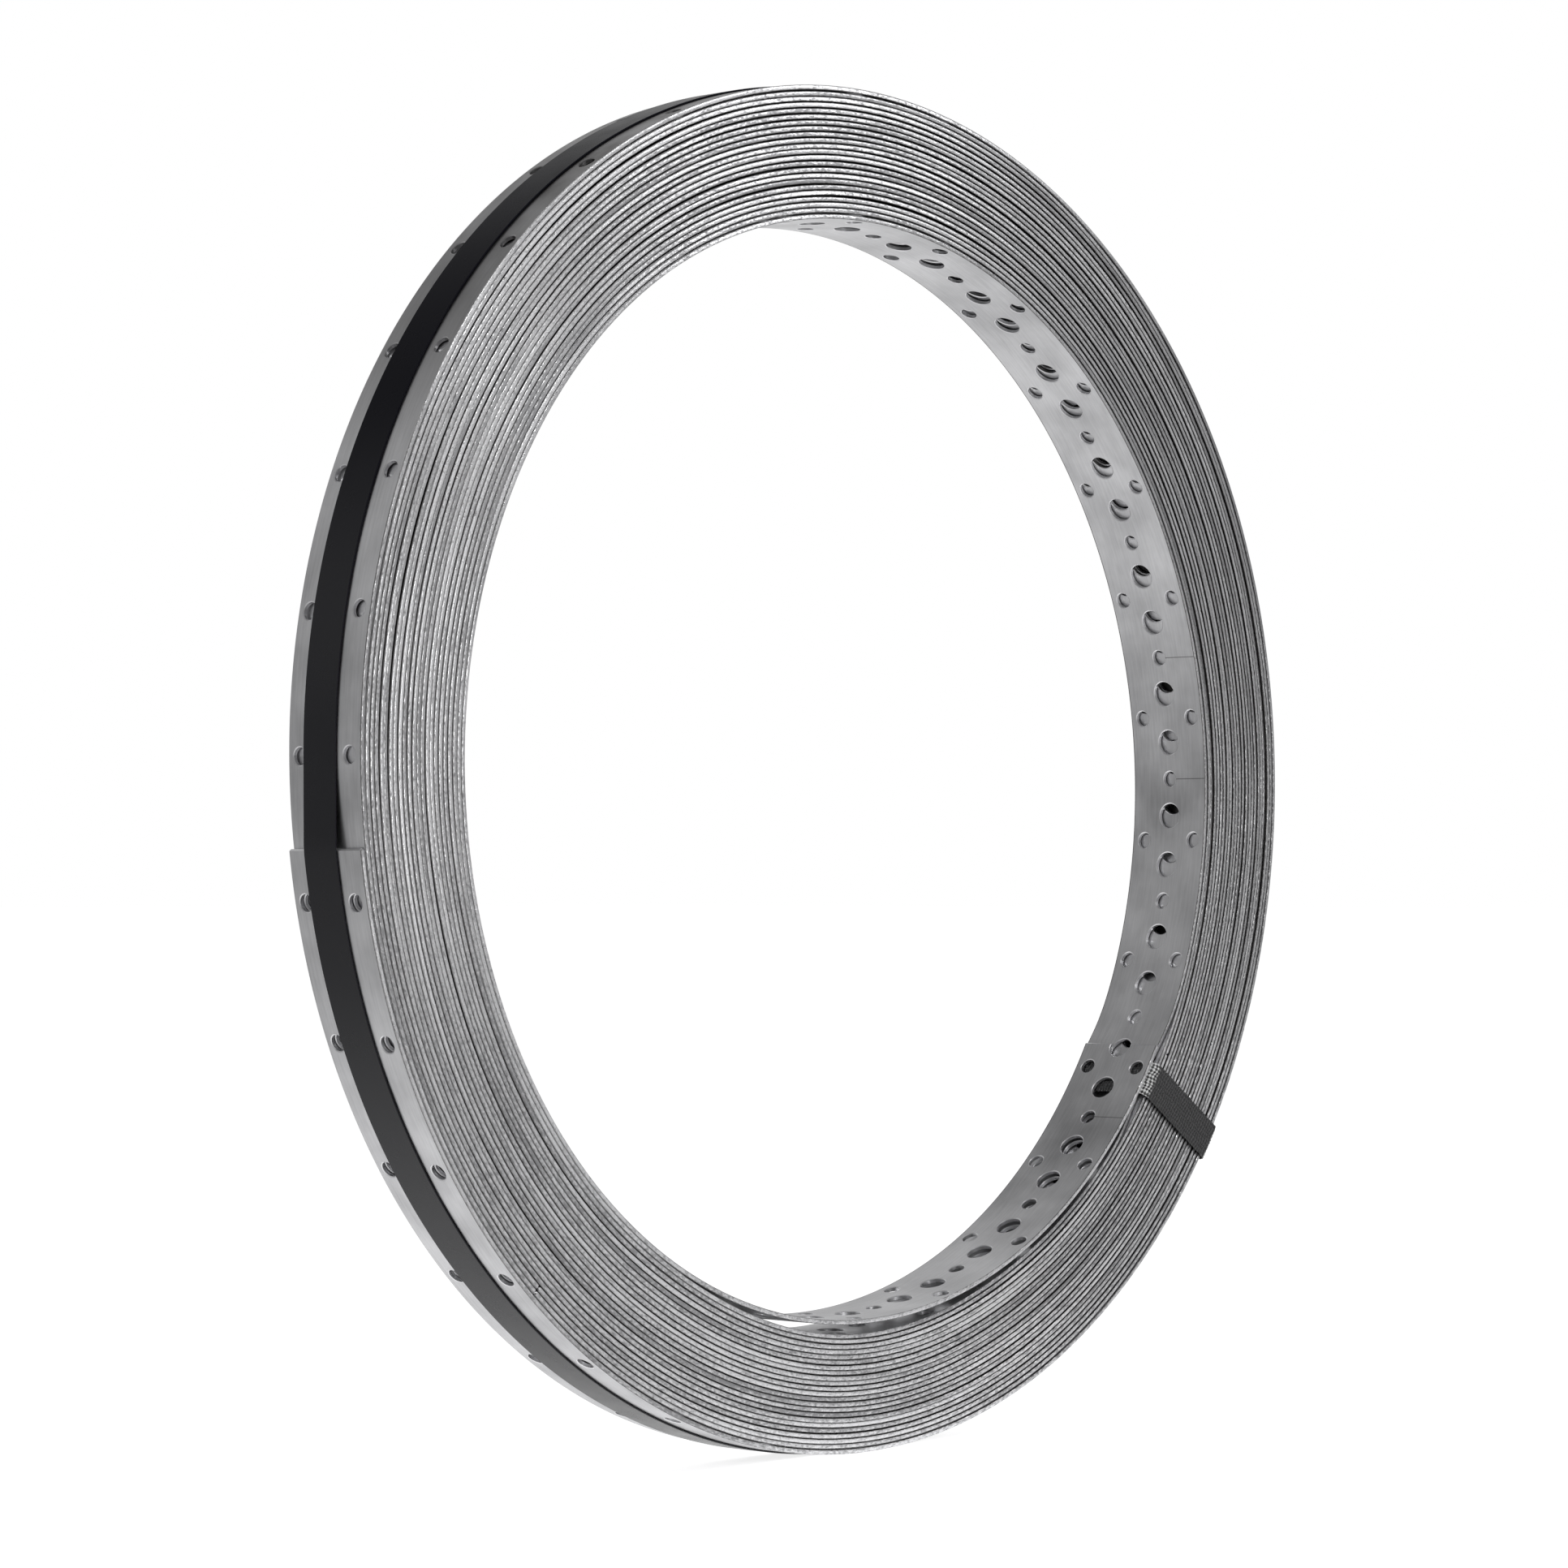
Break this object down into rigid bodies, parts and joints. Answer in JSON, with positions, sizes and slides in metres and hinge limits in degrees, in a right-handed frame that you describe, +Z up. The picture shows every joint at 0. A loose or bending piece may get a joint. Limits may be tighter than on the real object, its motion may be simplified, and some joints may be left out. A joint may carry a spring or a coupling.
{
  "type": "coil of perforated steel strap",
  "caption": "Upright coil of flat galvanised steel strap punched with round holes, held by a black strapping band and a grey tie.",
  "frame": {"origin": "centre of the bore, half-way along the strip's width", "axes": "+Y along the bore's axis, away from the face seen in the picture; +Z up as the coil stands on its rim"},
  "size_m": [0.4087, 0.0316, 0.4102],
  "materials": {
    "galvanised_steel": "satin zinc",
    "black_strapping": "satin",
    "grey_tie": "embossed"
  },
  "bodies": {
    "root": {"strip_coil": "galvanised_steel", "outer_strap": "black_strapping", "binding_tie": "grey_tie"}
  },
  "joints": []
}
